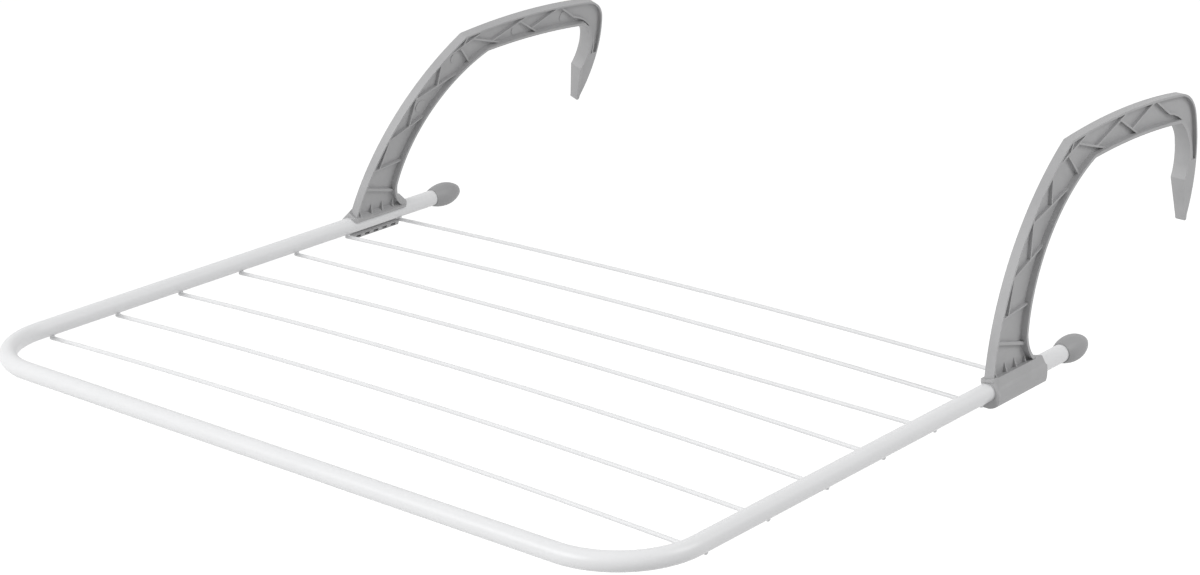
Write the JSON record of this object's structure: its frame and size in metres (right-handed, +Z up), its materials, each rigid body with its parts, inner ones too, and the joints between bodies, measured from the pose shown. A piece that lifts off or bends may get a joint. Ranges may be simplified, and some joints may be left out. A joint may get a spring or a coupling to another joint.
{
  "type": "hook-on drying rack",
  "caption": "Hook-on drying rack: bent U tube frame with welded cross wires, ribbed plastic hook arms that clip on and fold inward, and push-on bumper caps.",
  "frame": {"origin": "midway between the rear ends of the two end caps, level with the tube axis", "axes": "+X to the right, +Y to the rear towards the radiator or wall, +Z up"},
  "size_m": [0.6093, 0.6349, 0.1715],
  "materials": {
    "white_powder_coat": "smooth white powder coat over steel",
    "grey_arm_plastic": "mid-grey moulded plastic with a satin surface",
    "grey_cap_plastic": "darker grey soft moulded plastic"
  },
  "bodies": {
    "frame": {"frame_tube": "white_powder_coat", "wire_1": "white_powder_coat", "wire_2": "white_powder_coat", "wire_3": "white_powder_coat", "wire_4": "white_powder_coat", "wire_5": "white_powder_coat", "wire_6": "white_powder_coat", "wire_7": "white_powder_coat", "left_end_cap": "grey_cap_plastic", "right_end_cap": "grey_cap_plastic"},
    "left_arm": {"left_hook_arm": "grey_arm_plastic"},
    "right_arm": {"right_hook_arm": "grey_arm_plastic"}
  },
  "joints": [
    {"name": "left_arm_fold", "type": "hinge", "parent": "frame", "child": "left_arm", "pos_m": [-0.294, -0.0996, 0], "axis": [0, 1, 0], "range_deg": [-34.6, 67.4]},
    {"name": "right_arm_fold", "type": "hinge", "parent": "frame", "child": "right_arm", "pos_m": [0.294, -0.0996, 0], "axis": [0, -1, 0], "range_deg": [-13, 89]}
  ]
}
